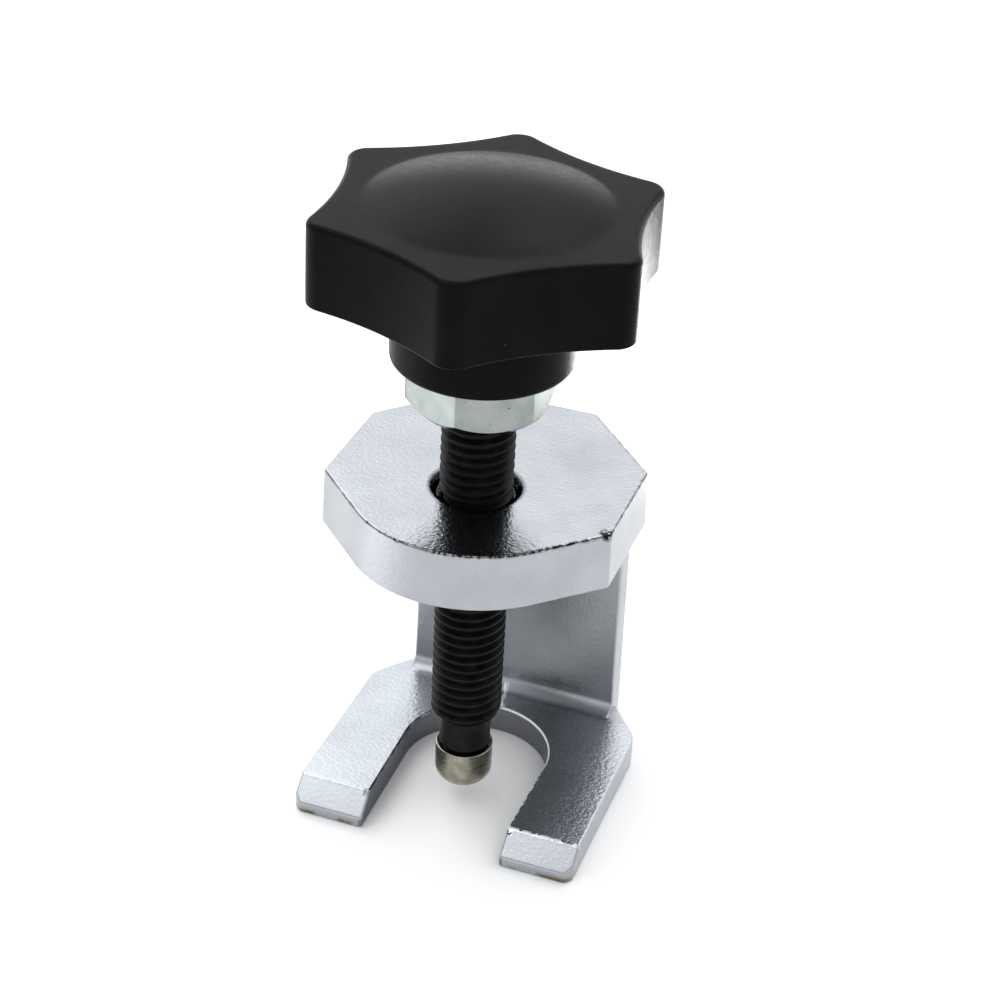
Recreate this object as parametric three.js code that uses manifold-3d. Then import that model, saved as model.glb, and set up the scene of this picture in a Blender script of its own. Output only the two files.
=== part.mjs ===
// A small ball joint separator: a forged C-shaped yoke, and a forcing screw that a star knob turns.
// The screw runs down through the yoke's top plate and ends in a cap that swivels on a ball.
// Millimetres, +Z up. The fork's open end faces -Y, and the part stands on the fork's underside at z = 0.
import * as THREE from "three";
import { mergeVertices } from "three/addons/utils/BufferGeometryUtils.js";
import Module from "manifold-3d";

const wasm = await Module();
wasm.setup();

// Gap between pieces that touch each other, and how far a joined solid sinks into its neighbour.
const GAP = 0.3;
const SINK = 0.4;

// Yoke: top plate.
const PLATE_TOP_Z = 63.2;
const PLATE_THICKNESS = 10;
const PLATE_HALF_WIDTH = 24.4;
const PLATE_NOSE_RADIUS = 20.9;
const PLATE_SIDE_BACK_Y = 15.3;
const PLATE_BACK_HALF_WIDTH = 10.8;
const PLATE_EDGE_BEVEL = 0.35;
const COUNTERSINK_RADIUS = 7.4;
const COUNTERSINK_DEPTH = 1.3;

// Yoke: back web.
const WEB_FRONT_Y = 25.6;
const BACK_Y = 30.4;
const WEB_HALF_WIDTH_LOW = 19.3;
const WEB_HALF_WIDTH_HIGH = 18.6;
const WEB_CORNER_CUT = 7.6;
const WEB_FORK_FILLET = 1.6;
const WEB_PLATE_FILLET = 3;

// Yoke: fork.
const FORK_THICKNESS = 5.4;
const FORK_HALF_WIDTH = 25.3;
const FORK_SHOULDER_Y = 20.2;
const FORK_SHOULDER_END_Y = 28.1;
const FORK_CORNER_RADIUS = 1.6;
const PRONG_TIP_Y = -15.9;
const PRONG_TIP_HEIGHT = 1.95;
const PRONG_BEVEL_START_Y = -11.8;
const PRONG_INNER_X = 12.5;
const PRONG_TIP_CORNER = 1.2;
const SLOT_RADIUS = 12.9;
const SLOT_CENTRE_Y = 6.1;

// Forcing screw, right-hand metric thread.
const THREAD_PITCH = 1.75;
const THREAD_RADIUS = 6;
const THREAD_ROOT_RADIUS = 4.95;
const THREAD_CLEARANCE = 0.22;
const THREAD_STEPS = 18;
const THREAD_LOW_Z = 17.6;
const THREAD_LEAD_IN = 1.7;
const SCREW_TOP_Z = 104.6;
const NECK_RADIUS = 4.4;
const NECK_LOW_Z = 12.3;
const STUD_TOP_RADIUS = 3.8;
const STUD_RADIUS = 3.3;
const STUD_TOP_Z = 11.5;
const STUD_END_Z = 8.1;
const STUD_GROOVE_RADIUS = 2.6;

// Swivel cap, its retaining ring and its ball.
const CAP_BOTTOM_Z = 3.35;
const CAP_DOME_TOP_Z = 6.8;
const CAP_TOP_Z = 11.6;
const CAP_RADIUS = 4.93;
const CAP_MOUTH_RADIUS = 4.6;
const CAP_BORE_RADIUS = 3.65;
const CAP_FLOOR_Z = 5.5;
const CAP_GROOVE_RADIUS = 4.3;
const RING_CENTRE_Z = 9.8;
const RING_THICKNESS = 0.7;
const RING_INNER_RADIUS = 2.85;
const RING_OUTER_RADIUS = 4.05;
const RING_GAP_ANGLE = 0.7;
const RING_GROOVE_CLEARANCE = 0.15;
const BALL_RADIUS = 1.4;
const BALL_SOCKET_CLEARANCE = 0.25;

// Lock nut.
const NUT_ACROSS_FLATS = 21;
const NUT_BOTTOM_Z = 78.3;
const NUT_TURN = THREE.MathUtils.degToRad(1.3);
const NUT_CHAMFER = 1.6;
const NUT_THREAD_CHAMFER = 0.9;

// Star knob and its moulded-in insert.
const HUB_RADIUS = 14.65;
const HUB_BOTTOM_Z = 86.6;
const STAR_BOTTOM_Z = 99;
const STAR_TOP_Z = 112.7;
const STAR_REACH = 28.25;
const STAR_WAIST = 23.6;
const STAR_TIP_RADIUS = 3.6;
const STAR_LOBES = 6;
const STAR_TURN = THREE.MathUtils.degToRad(8.9);
const STAR_EDGE_BEVEL = 1.3;
const DOME_RADIUS = 19.2;
const DOME_RISE = 2.8;
const INSERT_ACROSS_FLATS = 17;
const INSERT_TOP_Z = 106;
const INSERT_GROOVE_Z = 96;
const INSERT_GROOVE_HEIGHT = 4;
const INSERT_GROOVE_DEPTH = 1;

// Sides of a full turn on wide and on small round pieces, and steps along one arc of an outline.
const ROUND_STEPS = 36;
const SMALL_ROUND_STEPS = 24;
const ARC_STEPS = 14;

// ---- Solids and geometry ----

// A closed geometry as a solid, with shared corners merged and slivers at an axis dropped.
function solidFrom(geometry) {
  const plain = new THREE.BufferGeometry();
  plain.setAttribute("position", geometry.getAttribute("position"));
  plain.setIndex(geometry.index);
  const welded = mergeVertices(plain, 1e-4);
  const corners = welded.index.array;
  const triangles = [];
  for (let i = 0; i < corners.length; i += 3) {
    const [a, b, c] = [corners[i], corners[i + 1], corners[i + 2]];
    if (a !== b && b !== c && c !== a) triangles.push(a, b, c);
  }
  return new wasm.Manifold(
    new wasm.Mesh({
      numProp: 3,
      vertProperties: welded.getAttribute("position").array,
      triVerts: new Uint32Array(triangles),
    }),
  );
}

function geometryFrom(solid) {
  const mesh = solid.getMesh();
  const geometry = new THREE.BufferGeometry();
  geometry.setAttribute("position", new THREE.BufferAttribute(mesh.vertProperties, 3));
  geometry.setIndex(new THREE.BufferAttribute(mesh.triVerts, 1));
  const faceted = geometry.toNonIndexed();
  faceted.computeVertexNormals();
  return faceted;
}

function joined(...solids) {
  return solids.reduce((whole, next) => whole.add(next));
}

// A plan outline (x, y) raised from lowZ to highZ, with its edges bevelled by edge.
function raised(outline, lowZ, highZ, edge = 0, edgeSteps = 1) {
  const geometry = new THREE.ExtrudeGeometry(outline, {
    depth: highZ - lowZ - 2 * edge,
    curveSegments: ARC_STEPS,
    bevelEnabled: edge > 0,
    bevelSize: edge,
    bevelThickness: edge,
    bevelOffset: -edge,
    bevelSegments: edgeSteps,
  });
  geometry.translate(0, 0, lowZ + edge);
  return solidFrom(geometry);
}

// A side outline (y, z) drawn out along X, to both sides of the middle.
function drawnAlongX(outline, halfWidth) {
  const geometry = new THREE.ExtrudeGeometry(outline, {
    depth: 2 * halfWidth,
    curveSegments: 5,
    bevelEnabled: false,
  });
  geometry.translate(0, 0, -halfWidth);
  const turn = new THREE.Matrix4().makeBasis(
    new THREE.Vector3(0, 1, 0),
    new THREE.Vector3(0, 0, 1),
    new THREE.Vector3(1, 0, 0),
  );
  geometry.applyMatrix4(turn);
  return solidFrom(geometry);
}

// A front outline (x, z) drawn out along Y, from frontY to backY.
function drawnAlongY(outline, frontY, backY) {
  const geometry = new THREE.ExtrudeGeometry(outline, {
    depth: backY - frontY,
    bevelEnabled: false,
  });
  geometry.rotateX(Math.PI / 2);
  geometry.translate(0, backY, 0);
  return solidFrom(geometry);
}

// A profile of [radius, z] points turned round the screw's axis. It runs upwards outside.
function turned(profile, steps = SMALL_ROUND_STEPS) {
  const points = profile.map(([radius, z]) => new THREE.Vector2(radius, z));
  const geometry = new THREE.LatheGeometry(points, steps);
  geometry.rotateX(Math.PI / 2);
  return solidFrom(geometry);
}

function polygon(points) {
  return new THREE.Shape(points.map(([x, y]) => new THREE.Vector2(x, y)));
}

function mirrored(points) {
  return points.map(([x, y]) => [-x, y]).reverse();
}

// A helical rod round the Z axis: crest and root lines wind up it, one turn to a pitch.
// Column j stands at angle j, and its points climb by half a pitch from root to crest.
// The last column joins the first one two points higher, and a fan closes each end.
function helicalRod(crestRadius, rootRadius, lowZ, highZ) {
  const halfPitch = THREAD_PITCH / 2;
  const first = Math.floor(lowZ / THREAD_PITCH) * 2 - 2;
  const last = Math.ceil(highZ / THREAD_PITCH) * 2;
  const rows = last - first;
  const positions = [];
  const columns = [];
  for (let j = 0; j < THREAD_STEPS; j++) {
    const angle = (j / THREAD_STEPS) * 2 * Math.PI;
    const count = j === 0 ? rows + 2 : rows;
    columns.push([]);
    for (let k = 0; k <= count; k++) {
      const radius = (first + k) % 2 === 0 ? rootRadius : crestRadius;
      const z = (first + k) * halfPitch + (j / THREAD_STEPS) * THREAD_PITCH;
      columns[j].push(positions.length / 3);
      positions.push(radius * Math.cos(angle), radius * Math.sin(angle), z);
    }
  }
  const at = (j, k) => (j === THREAD_STEPS ? columns[0][k + 2] : columns[j][k]);
  const triangles = [];
  for (let j = 0; j < THREAD_STEPS; j++) {
    for (let k = 0; k < rows; k++) {
      triangles.push(at(j, k), at(j + 1, k), at(j + 1, k + 1));
      triangles.push(at(j, k), at(j + 1, k + 1), at(j, k + 1));
    }
  }
  const steps = [...columns.keys()];
  const lowLoop = [...steps.map((j) => at(j, 0)), at(0, 2), at(0, 1)];
  const highLoop = [...steps.map((j) => at(j, rows)), at(0, rows + 2), at(0, rows + 1)];
  const lowPole = positions.length / 3;
  positions.push(0, 0, (first - 1) * halfPitch);
  const highPole = lowPole + 1;
  positions.push(0, 0, (last + 3) * halfPitch);
  lowLoop.forEach((corner, i) => {
    triangles.push(lowPole, lowLoop[(i + 1) % lowLoop.length], corner);
  });
  highLoop.forEach((corner, i) => {
    triangles.push(highPole, corner, highLoop[(i + 1) % highLoop.length]);
  });
  const geometry = new THREE.BufferGeometry();
  geometry.setAttribute("position", new THREE.Float32BufferAttribute(positions, 3));
  geometry.setIndex(triangles);
  return solidFrom(geometry);
}

// The thread's own shape, and the wider one that cuts a tapped hole for it.
function threadBetween(lowZ, highZ) {
  return helicalRod(THREAD_RADIUS, THREAD_ROOT_RADIUS, lowZ, highZ);
}

function tapBetween(lowZ, highZ) {
  const crest = THREAD_RADIUS + THREAD_CLEARANCE;
  return helicalRod(crest, THREAD_ROOT_RADIUS + THREAD_CLEARANCE, lowZ, highZ);
}

// A cone that opens a hole's mouth at z. direction is 1 for a mouth that faces up.
function mouthCutter(z, mouthRadius, depth, direction) {
  const innerRadius = mouthRadius - depth;
  const profile = [
    [0, z - direction * depth],
    [innerRadius, z - direction * depth],
    [mouthRadius, z],
    [mouthRadius, z + direction],
    [0, z + direction],
  ];
  return turned(direction > 0 ? profile : profile.reverse());
}

function hexagon(acrossFlats, turn) {
  const reach = acrossFlats / 2 / Math.cos(Math.PI / 6);
  const corners = [];
  for (let i = 0; i < 6; i++) {
    const angle = (i * Math.PI) / 3 + turn - Math.PI / 2;
    corners.push([reach * Math.cos(angle), reach * Math.sin(angle)]);
  }
  return polygon(corners);
}

// ---- Yoke ----

// The plate's plan: a round nose about the screw, 45 degree flanks, straight sides and cut back corners.
function plateOutline() {
  const cornerY = PLATE_HALF_WIDTH - PLATE_NOSE_RADIUS * Math.SQRT2;
  const outline = new THREE.Shape();
  outline.absarc(0, 0, PLATE_NOSE_RADIUS, (-3 * Math.PI) / 4, -Math.PI / 4, false);
  outline.lineTo(PLATE_HALF_WIDTH, cornerY);
  outline.lineTo(PLATE_HALF_WIDTH, PLATE_SIDE_BACK_Y);
  outline.lineTo(PLATE_BACK_HALF_WIDTH, BACK_Y);
  outline.lineTo(-PLATE_BACK_HALF_WIDTH, BACK_Y);
  outline.lineTo(-PLATE_HALF_WIDTH, PLATE_SIDE_BACK_Y);
  outline.lineTo(-PLATE_HALF_WIDTH, cornerY);
  outline.closePath();
  return outline;
}

function topPlate() {
  const lowZ = PLATE_TOP_Z - PLATE_THICKNESS;
  return raised(plateOutline(), lowZ, PLATE_TOP_Z, PLATE_EDGE_BEVEL);
}

// The web narrows a little towards the top, where its corners are cut to clear the plate's.
function backWeb() {
  const topZ = PLATE_TOP_Z - PLATE_THICKNESS;
  const cutLowZ = topZ - WEB_CORNER_CUT;
  const right = [
    [WEB_HALF_WIDTH_LOW, 0],
    [WEB_HALF_WIDTH_HIGH, cutLowZ],
    [WEB_HALF_WIDTH_HIGH - WEB_CORNER_CUT, topZ],
    [WEB_HALF_WIDTH_HIGH - WEB_CORNER_CUT, topZ + SINK],
  ];
  return drawnAlongY(polygon([...right, ...mirrored(right)]), WEB_FRONT_Y, BACK_Y);
}

// The fork's plan: shoulders that step out from the web, two prongs, and a slot with a round back.
function forkOutline() {
  const outline = new THREE.Shape();
  const tipX = FORK_HALF_WIDTH - PRONG_TIP_CORNER;
  const roundY = FORK_SHOULDER_Y - FORK_CORNER_RADIUS;
  outline.moveTo(PRONG_INNER_X, PRONG_TIP_Y);
  outline.lineTo(tipX, PRONG_TIP_Y);
  outline.lineTo(FORK_HALF_WIDTH, PRONG_TIP_Y + PRONG_TIP_CORNER);
  outline.lineTo(FORK_HALF_WIDTH, roundY);
  outline.quadraticCurveTo(FORK_HALF_WIDTH, FORK_SHOULDER_Y, FORK_HALF_WIDTH - 1, FORK_SHOULDER_Y + 1.3);
  outline.lineTo(WEB_HALF_WIDTH_LOW, FORK_SHOULDER_END_Y);
  outline.lineTo(WEB_HALF_WIDTH_LOW, BACK_Y);
  outline.lineTo(-WEB_HALF_WIDTH_LOW, BACK_Y);
  outline.lineTo(-WEB_HALF_WIDTH_LOW, FORK_SHOULDER_END_Y);
  outline.lineTo(1 - FORK_HALF_WIDTH, FORK_SHOULDER_Y + 1.3);
  outline.quadraticCurveTo(-FORK_HALF_WIDTH, FORK_SHOULDER_Y, -FORK_HALF_WIDTH, roundY);
  outline.lineTo(-FORK_HALF_WIDTH, PRONG_TIP_Y + PRONG_TIP_CORNER);
  outline.lineTo(-tipX, PRONG_TIP_Y);
  outline.lineTo(-PRONG_INNER_X, PRONG_TIP_Y);
  outline.lineTo(-SLOT_RADIUS, SLOT_CENTRE_Y);
  outline.absarc(0, SLOT_CENTRE_Y, SLOT_RADIUS, Math.PI, 0, true);
  outline.closePath();
  return outline;
}

// The fork is its plan cut to its side view, where the prongs' tips slope down to thin ends.
function fork() {
  const side = polygon([
    [PRONG_TIP_Y, 0],
    [BACK_Y, 0],
    [BACK_Y, FORK_THICKNESS],
    [PRONG_BEVEL_START_Y, FORK_THICKNESS],
    [PRONG_TIP_Y, PRONG_TIP_HEIGHT],
  ]);
  const plan = raised(forkOutline(), -1, FORK_THICKNESS + 1);
  return plan.intersect(drawnAlongX(side, FORK_HALF_WIDTH + 1));
}

// A concave fillet along X in the corner at (WEB_FRONT_Y, z). direction is 1 for a corner that opens upwards.
function webFillet(z, radius, direction, halfWidth) {
  const outline = new THREE.Shape();
  const arcEnd = direction > 0 ? -Math.PI / 2 : Math.PI / 2;
  const centreZ = z + direction * radius;
  outline.absarc(WEB_FRONT_Y - radius, centreZ, radius, 0, arcEnd, direction > 0);
  outline.lineTo(WEB_FRONT_Y - radius, z - direction * SINK);
  outline.lineTo(WEB_FRONT_Y + SINK, z - direction * SINK);
  outline.lineTo(WEB_FRONT_Y + SINK, centreZ);
  outline.closePath();
  return drawnAlongX(outline, halfWidth);
}

function screwHole() {
  const lowZ = PLATE_TOP_Z - PLATE_THICKNESS;
  const bore = turned([
    [0, lowZ - 1],
    [THREAD_RADIUS + 1, lowZ - 1],
    [THREAD_RADIUS + 1, PLATE_TOP_Z + 1],
    [0, PLATE_TOP_Z + 1],
  ]);
  return joined(
    tapBetween(lowZ, PLATE_TOP_Z).intersect(bore),
    mouthCutter(PLATE_TOP_Z, COUNTERSINK_RADIUS, COUNTERSINK_DEPTH, 1),
    mouthCutter(lowZ, COUNTERSINK_RADIUS, COUNTERSINK_DEPTH, -1),
  );
}

function yoke() {
  const plateLowZ = PLATE_TOP_Z - PLATE_THICKNESS;
  const upperFilletHalfWidth = PLATE_BACK_HALF_WIDTH;
  const body = joined(
    topPlate(),
    backWeb(),
    fork(),
    webFillet(FORK_THICKNESS, WEB_FORK_FILLET, 1, WEB_HALF_WIDTH_LOW - GAP),
    webFillet(plateLowZ, WEB_PLATE_FILLET, -1, upperFilletHalfWidth),
  );
  return body.subtract(screwHole());
}

// ---- Screw group ----

// The ring's groove, as the span of height that it takes up.
function grooveSpan() {
  const half = RING_THICKNESS / 2 + RING_GROOVE_CLEARANCE;
  return [RING_CENTRE_Z - half, RING_CENTRE_Z + half];
}

function forcingScrew() {
  const [grooveLowZ, grooveHighZ] = grooveSpan();
  const threadEnvelope = turned([
    [0, THREAD_LOW_Z],
    [NECK_RADIUS, THREAD_LOW_Z],
    [THREAD_RADIUS + GAP, THREAD_LOW_Z + THREAD_LEAD_IN + GAP],
    [THREAD_RADIUS + GAP, SCREW_TOP_Z - THREAD_LEAD_IN],
    [THREAD_ROOT_RADIUS - GAP, SCREW_TOP_Z],
    [0, SCREW_TOP_Z],
  ]);
  const neckAndStud = turned([
    [0, STUD_END_Z],
    [STUD_RADIUS - GAP, STUD_END_Z],
    [STUD_RADIUS, STUD_END_Z + GAP],
    [STUD_RADIUS, grooveLowZ],
    [STUD_GROOVE_RADIUS, grooveLowZ],
    [STUD_GROOVE_RADIUS, grooveHighZ],
    [STUD_RADIUS, grooveHighZ],
    [STUD_RADIUS, STUD_TOP_Z - SINK],
    [STUD_TOP_RADIUS, STUD_TOP_Z],
    [NECK_RADIUS, NECK_LOW_Z],
    [NECK_RADIUS, THREAD_LOW_Z + THREAD_LEAD_IN],
    [0, THREAD_LOW_Z + THREAD_LEAD_IN],
  ]);
  const thread = threadBetween(THREAD_LOW_Z, SCREW_TOP_Z).intersect(threadEnvelope);
  const socket = ballOf(BALL_RADIUS + BALL_SOCKET_CLEARANCE);
  return joined(thread, neckAndStud).subtract(socket);
}

function lockNut() {
  const topZ = HUB_BOTTOM_Z - GAP;
  const reach = NUT_ACROSS_FLATS / 2 / Math.cos(Math.PI / 6);
  const rise = NUT_CHAMFER * Math.tan(Math.PI / 6);
  const rounding = turned(
    [
      [0, NUT_BOTTOM_Z],
      [reach - NUT_CHAMFER, NUT_BOTTOM_Z],
      [reach, NUT_BOTTOM_Z + rise],
      [reach, topZ - rise],
      [reach - NUT_CHAMFER, topZ],
      [0, topZ],
    ],
    ROUND_STEPS,
  );
  const mouth = THREAD_RADIUS + NUT_THREAD_CHAMFER - GAP;
  return raised(hexagon(NUT_ACROSS_FLATS, NUT_TURN), NUT_BOTTOM_Z, topZ)
    .intersect(rounding)
    .subtract(tapBetween(NUT_BOTTOM_Z, topZ))
    .subtract(mouthCutter(NUT_BOTTOM_Z, mouth, NUT_THREAD_CHAMFER, -1))
    .subtract(mouthCutter(topZ, mouth, NUT_THREAD_CHAMFER, 1));
}

// The insert's outer shape, grown by clearance: a hexagon with a groove that the plastic grips.
function insertBlank(clearance, lowZ, highZ) {
  const grooveHalf = INSERT_GROOVE_HEIGHT / 2 - clearance;
  const coreRadius = INSERT_ACROSS_FLATS / 2 - INSERT_GROOVE_DEPTH + clearance;
  const outside = INSERT_ACROSS_FLATS;
  const groove = turned([
    [coreRadius, INSERT_GROOVE_Z - grooveHalf],
    [outside, INSERT_GROOVE_Z - grooveHalf],
    [outside, INSERT_GROOVE_Z + grooveHalf],
    [coreRadius, INSERT_GROOVE_Z + grooveHalf],
    [coreRadius, INSERT_GROOVE_Z - grooveHalf],
  ]);
  return raised(hexagon(INSERT_ACROSS_FLATS + 2 * clearance, 0), lowZ, highZ).subtract(groove);
}

function knobInsert() {
  const lowZ = HUB_BOTTOM_Z + GAP;
  const blank = insertBlank(0, lowZ, INSERT_TOP_Z);
  return blank.subtract(tapBetween(lowZ, INSERT_TOP_Z));
}

// Six round tips joined by shallow concave arcs that meet them smoothly.
function starOutline() {
  const tipCentre = STAR_REACH - STAR_TIP_RADIUS;
  const step = (2 * Math.PI) / STAR_LOBES;
  const inner = STAR_WAIST - STAR_TIP_RADIUS;
  const hollowCentre =
    (tipCentre ** 2 - inner ** 2) / (2 * (tipCentre * Math.cos(step / 2) - inner));
  const hollowRadius = hollowCentre - STAR_WAIST;
  const across = hollowCentre * Math.sin(step / 2);
  const along = hollowCentre * Math.cos(step / 2) - tipCentre;
  const tipHalfAngle = Math.atan2(across, along);
  const hollowHalfAngle = tipHalfAngle - step / 2;
  const outline = new THREE.Shape();
  for (let i = 0; i < STAR_LOBES; i++) {
    const tip = i * step + STAR_TURN - Math.PI / 2;
    const [tipX, tipY] = [tipCentre * Math.cos(tip), tipCentre * Math.sin(tip)];
    outline.absarc(tipX, tipY, STAR_TIP_RADIUS, tip - tipHalfAngle, tip + tipHalfAngle, false);
    const hollow = tip + step / 2;
    const [hollowX, hollowY] = [hollowCentre * Math.cos(hollow), hollowCentre * Math.sin(hollow)];
    const facing = hollow + Math.PI;
    const arcStart = facing + hollowHalfAngle;
    outline.absarc(hollowX, hollowY, hollowRadius, arcStart, facing - hollowHalfAngle, true);
  }
  return outline;
}

// The star's plate is extruded with coarse arcs, which keep its face count low.
function starPlate() {
  const geometry = new THREE.ExtrudeGeometry(starOutline(), {
    depth: STAR_TOP_Z - STAR_BOTTOM_Z - 2 * STAR_EDGE_BEVEL,
    curveSegments: 6,
    bevelSize: STAR_EDGE_BEVEL,
    bevelThickness: STAR_EDGE_BEVEL,
    bevelOffset: -STAR_EDGE_BEVEL,
    bevelSegments: 2,
  });
  geometry.translate(0, 0, STAR_BOTTOM_Z + STAR_EDGE_BEVEL);
  return solidFrom(geometry);
}

// The dome and the hub, turned as one core that runs through the star's plate.
function knobCore() {
  const profile = [
    [0, HUB_BOTTOM_Z],
    [HUB_RADIUS - 1, HUB_BOTTOM_Z],
    [HUB_RADIUS, HUB_BOTTOM_Z + 1],
    [HUB_RADIUS, STAR_BOTTOM_Z + 2 * STAR_EDGE_BEVEL],
    [DOME_RADIUS, STAR_TOP_Z - STAR_EDGE_BEVEL],
    [DOME_RADIUS, STAR_TOP_Z],
  ];
  const domeSteps = 6;
  for (let i = 1; i <= domeSteps; i++) {
    const angle = (i / domeSteps) * (Math.PI / 2);
    profile.push([DOME_RADIUS * Math.cos(angle), STAR_TOP_Z + DOME_RISE * Math.sin(angle)]);
  }
  return turned(profile, ROUND_STEPS);
}

function knob() {
  const pocket = insertBlank(GAP, HUB_BOTTOM_Z - 1, INSERT_TOP_Z + GAP);
  return joined(starPlate(), knobCore()).subtract(pocket);
}

// ---- Swivel cap ----

function ballCentreZ() {
  return CAP_FLOOR_Z + BALL_SOCKET_CLEARANCE + BALL_RADIUS;
}

function ballOf(radius) {
  const geometry = new THREE.SphereGeometry(radius, SMALL_ROUND_STEPS / 2, 10);
  geometry.translate(0, 0, ballCentreZ());
  return solidFrom(geometry);
}

function pressureCap() {
  const [grooveLowZ, grooveHighZ] = grooveSpan();
  const domeHeight = CAP_DOME_TOP_Z - CAP_BOTTOM_Z;
  const profile = [[0, CAP_BOTTOM_Z]];
  const domeSteps = 6;
  for (let i = 1; i <= domeSteps; i++) {
    const angle = (i / domeSteps) * (Math.PI / 2);
    profile.push([CAP_RADIUS * Math.sin(angle), CAP_DOME_TOP_Z - domeHeight * Math.cos(angle)]);
  }
  profile.push(
    [CAP_RADIUS, CAP_TOP_Z],
    [CAP_MOUTH_RADIUS, CAP_TOP_Z],
    [CAP_BORE_RADIUS, CAP_TOP_Z - (CAP_MOUTH_RADIUS - CAP_BORE_RADIUS)],
    [CAP_BORE_RADIUS, grooveHighZ],
    [CAP_GROOVE_RADIUS, grooveHighZ],
    [CAP_GROOVE_RADIUS, grooveLowZ],
    [CAP_BORE_RADIUS, grooveLowZ],
    [CAP_BORE_RADIUS, CAP_FLOOR_Z],
    [0, CAP_FLOOR_Z],
  );
  return turned(profile);
}

// A flat ring with one gap, so that it can be squeezed into its groove.
function retainingRing() {
  const outline = new THREE.Shape();
  const start = RING_GAP_ANGLE / 2;
  const end = 2 * Math.PI - RING_GAP_ANGLE / 2;
  outline.absarc(0, 0, RING_OUTER_RADIUS, start, end, false);
  outline.absarc(0, 0, RING_INNER_RADIUS, end, start, true);
  outline.closePath();
  const half = RING_THICKNESS / 2;
  return raised(outline, RING_CENTRE_Z - half, RING_CENTRE_Z + half);
}

function thrustBall() {
  return ballOf(BALL_RADIUS);
}

// ---- Materials ----

function metal(color, roughness) {
  return new THREE.MeshStandardMaterial({ color, roughness, metalness: 1 });
}

function forgedZinc() {
  return metal(0xc9ccd3, 0.32);
}

function brightZinc() {
  return metal(0xd8e0d8, 0.25);
}

function blackOxide() {
  return metal(0x18181a, 0.4);
}

function nickelPlate() {
  return metal(0x8f897c, 0.3);
}

function springSteel() {
  return metal(0x5d5f63, 0.35);
}

function bearingSteel() {
  return metal(0xd0d2d6, 0.12);
}

function brass() {
  return metal(0xb58b3c, 0.35);
}

function blackPlastic() {
  return new THREE.MeshStandardMaterial({ color: 0x17181a, roughness: 0.45, metalness: 0 });
}

// ---- Assembly ----

function named(name, solid, material) {
  const mesh = new THREE.Mesh(geometryFrom(solid), material);
  mesh.name = name;
  return mesh;
}

const screwGroup = new THREE.Group();
screwGroup.add(
  named("forcing_screw", forcingScrew(), blackOxide()),
  named("lock_nut", lockNut(), brightZinc()),
  named("knob_insert", knobInsert(), brass()),
  named("knob", knob(), blackPlastic()),
);

const capGroup = new THREE.Group();
capGroup.add(
  named("pressure_cap", pressureCap(), nickelPlate()),
  named("retaining_ring", retainingRing(), springSteel()),
  named("thrust_ball", thrustBall(), bearingSteel()),
);

const assembly = new THREE.Group();
assembly.add(named("yoke", yoke(), forgedZinc()), screwGroup, capGroup);

// The screw's axis is set so that the whole part's box has its middle over the origin.
const spread = new THREE.Box3().setFromObject(assembly);
const middle = spread.getCenter(new THREE.Vector3());
assembly.position.set(-middle.x, -middle.y, 0);

const part = new THREE.Group();
part.add(assembly);

export default part;
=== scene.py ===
"""A ball joint separator: detailed meshes, materials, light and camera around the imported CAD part.

Lengths are in millimetres, measured from the screw's axis and the floor. Multiplying by MM gives metres.
"""

import math

import bmesh
import bpy
import numpy as np
from mathutils import Matrix, Vector


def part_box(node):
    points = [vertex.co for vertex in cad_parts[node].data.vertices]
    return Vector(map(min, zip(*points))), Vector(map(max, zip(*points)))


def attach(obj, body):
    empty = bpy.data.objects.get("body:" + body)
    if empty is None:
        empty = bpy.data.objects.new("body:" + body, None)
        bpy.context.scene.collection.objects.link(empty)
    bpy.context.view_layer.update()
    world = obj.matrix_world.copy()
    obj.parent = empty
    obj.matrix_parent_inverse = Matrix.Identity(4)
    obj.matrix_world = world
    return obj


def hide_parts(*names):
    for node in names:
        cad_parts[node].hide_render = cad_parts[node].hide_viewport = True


MM = 0.001

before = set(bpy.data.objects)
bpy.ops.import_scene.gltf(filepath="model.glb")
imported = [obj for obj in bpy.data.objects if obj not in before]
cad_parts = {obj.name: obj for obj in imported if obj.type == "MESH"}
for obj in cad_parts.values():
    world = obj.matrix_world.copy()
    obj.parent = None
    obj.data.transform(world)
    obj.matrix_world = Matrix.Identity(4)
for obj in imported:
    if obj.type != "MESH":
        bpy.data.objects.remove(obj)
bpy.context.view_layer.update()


def span(node):
    """The low and high corner of a CAD node in millimetres."""
    low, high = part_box(node)
    return np.array(low) / MM, np.array(high) / MM


def radius_of(node):
    """Half a round CAD node's width."""
    low, high = span(node)
    return (high[0] - low[0]) / 2


BALL_LOW, BALL_HIGH = span("thrust_ball")
AXIS_Y = (BALL_LOW[1] + BALL_HIGH[1]) / 2
YOKE_HIGH = span("yoke")[1]
SCREW_LOW, SCREW_HIGH = span("forcing_screw")
NUT_LOW, NUT_HIGH = span("lock_nut")
KNOB_LOW, KNOB_HIGH = span("knob")
CAP_LOW, CAP_HIGH = span("pressure_cap")
RING_LOW, RING_HIGH = span("retaining_ring")
INSERT_LOW, INSERT_HIGH = span("knob_insert")
INSERT_ACROSS_FLATS = INSERT_HIGH[0] - INSERT_LOW[0]

# How far a cutting shape runs past the face that it cuts.
PAST = 1

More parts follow.
